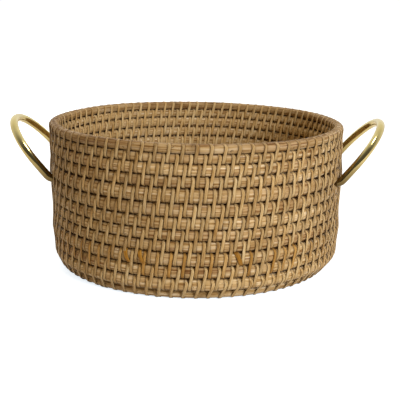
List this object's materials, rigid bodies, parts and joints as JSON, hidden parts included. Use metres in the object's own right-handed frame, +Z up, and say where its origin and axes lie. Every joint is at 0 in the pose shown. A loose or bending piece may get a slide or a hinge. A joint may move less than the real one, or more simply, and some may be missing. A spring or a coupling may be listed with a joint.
{
  "type": "basket",
  "caption": "Round open basket of stacked rattan hoops lashed with flat cane strips on a coiled base, with a fixed brass loop handle on each side",
  "frame": {"origin": "centre of the round base, on the surface that the basket stands on", "axes": "+Z up out of the open mouth, +X through the right handle, -X through the left handle"},
  "size_m": [0.4208, 0.3316, 0.1631],
  "materials": {
    "rattan": "satin natural rattan",
    "cane": "satin split cane",
    "brass": "polished"
  },
  "bodies": {
    "root": {"rim_hoop": "rattan", "wall_hoop_02": "rattan", "wall_hoop_03": "rattan", "wall_hoop_04": "rattan", "wall_hoop_05": "rattan", "wall_hoop_06": "rattan", "wall_hoop_07": "rattan", "wall_hoop_08": "rattan", "wall_hoop_09": "rattan", "wall_hoop_10": "rattan", "wall_hoop_11": "rattan", "wall_hoop_12": "rattan", "base_coil": "rattan", "wall_binding_01": "cane", "wall_binding_02": "cane", "wall_binding_03": "cane", "wall_binding_04": "cane", "wall_binding_05": "cane", "wall_binding_06": "cane", "wall_binding_07": "cane", "wall_binding_08": "cane", "wall_binding_09": "cane", "wall_binding_10": "cane", "wall_binding_11": "cane", "foot_binding": "cane", "base_binding": "cane", "left_handle": "brass", "right_handle": "brass", "left_washers": "brass", "left_cap_nuts": "brass", "right_washers": "brass", "right_cap_nuts": "brass"}
  },
  "joints": []
}
